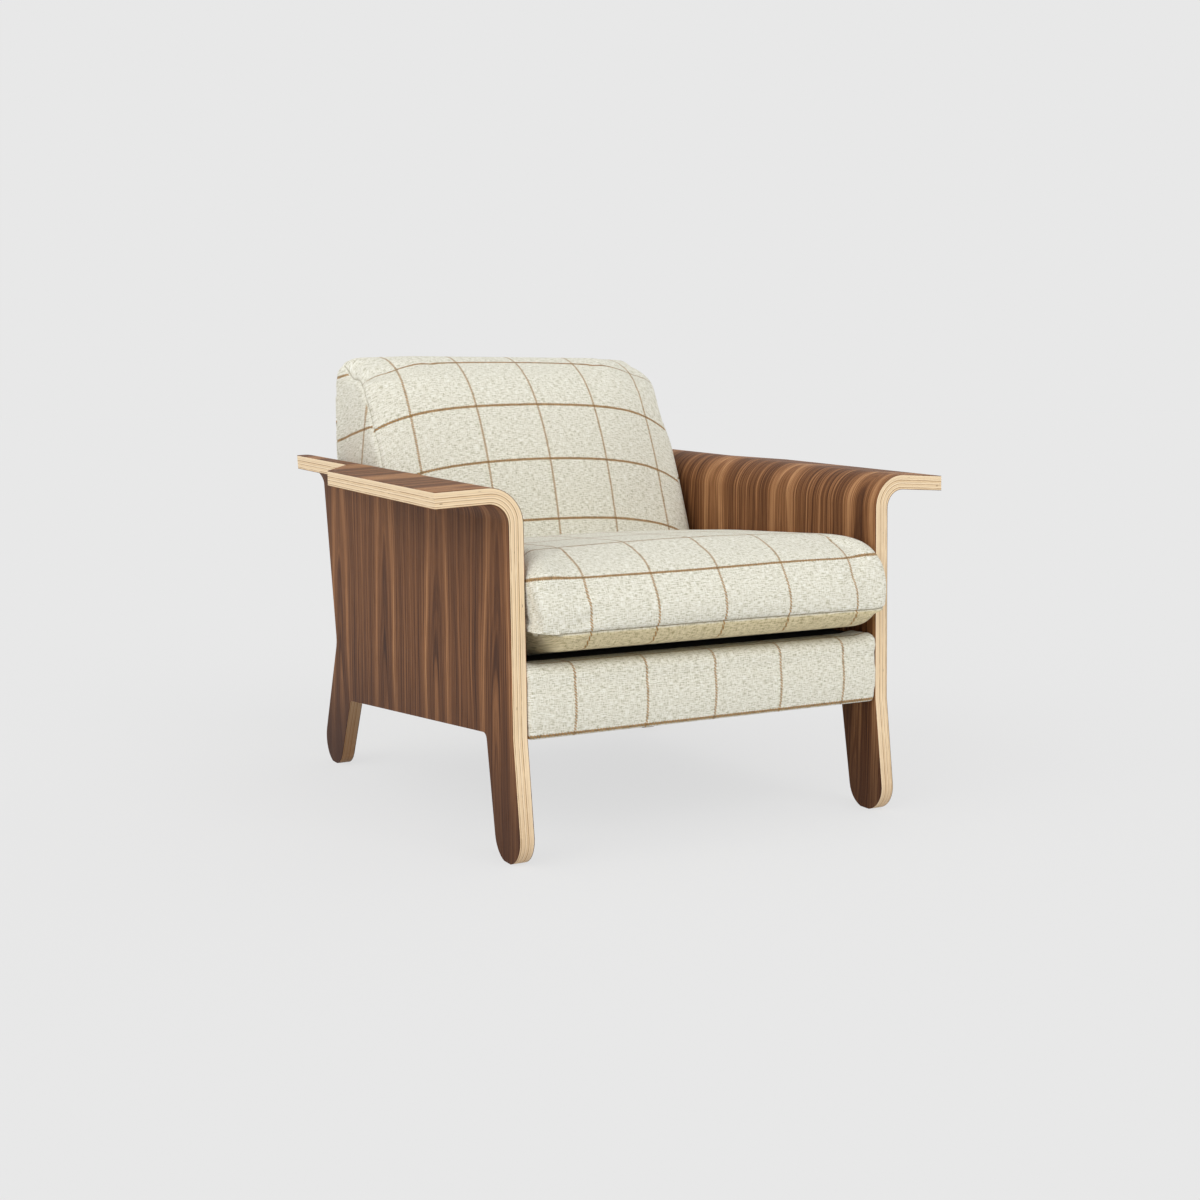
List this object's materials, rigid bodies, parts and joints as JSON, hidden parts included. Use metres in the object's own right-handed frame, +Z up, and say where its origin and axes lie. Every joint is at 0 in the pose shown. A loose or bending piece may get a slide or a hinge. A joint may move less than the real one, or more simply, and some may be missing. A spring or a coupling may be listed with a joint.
{
  "type": "upholstered lounge chair",
  "caption": "Lounge chair with bent plywood sides that form legs and flat armrests, a padded raked back and a loose box seat cushion in windowpane check fabric.",
  "frame": {"origin": "on the floor under the middle of the chair's bounding box", "axes": "+Z up, the front of the chair faces -Y, +X to the right seen from the front"},
  "size_m": [0.944, 0.87, 0.781],
  "materials": {
    "ply_edge": "clear satin lacquer on pale layered plywood",
    "walnut": "clear satin lacquer on walnut veneer",
    "hardwood": "planed, unfinished",
    "check_fabric": "woven off-white wool with brown windowpane lines",
    "foam": "cut upholstery foam",
    "webbing": "elastic woven webbing",
    "dust_cloth": "thin black non-woven cloth",
    "zip_tape": "woven tape",
    "steel": "zinc plated"
  },
  "bodies": {
    "chair": {"left_panel_core": "ply_edge", "right_panel_core": "ply_edge", "left_inner_veneer": "walnut", "right_inner_veneer": "walnut", "left_outer_veneer": "walnut", "right_outer_veneer": "walnut", "front_rail": "hardwood", "rear_rail": "hardwood", "left_side_rail": "hardwood", "right_side_rail": "hardwood", "corner_blocks": "hardwood", "left_back_post": "hardwood", "right_back_post": "hardwood", "top_rail": "hardwood", "lumbar_rail": "hardwood", "front_border_cover": "check_fabric", "deck_cover": "check_fabric", "back_front_panel": "check_fabric", "back_left_boxing": "check_fabric", "back_right_boxing": "check_fabric", "outside_back": "check_fabric", "deck_pad": "foam", "front_border_foam": "foam", "back_foam": "foam", "seat_webbing": "webbing", "back_webbing": "webbing", "dust_cover": "dust_cloth", "side_bolts": "steel", "bolt_washers": "steel", "insert_nuts": "steel", "post_bolts": "steel"},
    "seat_cushion": {"cushion_cover": "check_fabric", "cushion_foam": "foam", "zip_tape": "zip_tape"},
    "zip_slider": {"zip_slider": "steel"}
  },
  "joints": [
    {"name": "cushion_lift", "type": "slide", "parent": "chair", "child": "seat_cushion", "axis": [0, 0, 1], "range_m": [0, 0.3]},
    {"name": "cushion_zip", "type": "slide", "parent": "seat_cushion", "child": "zip_slider", "axis": [1, 0, 0], "range_m": [0, 0.506]}
  ]
}
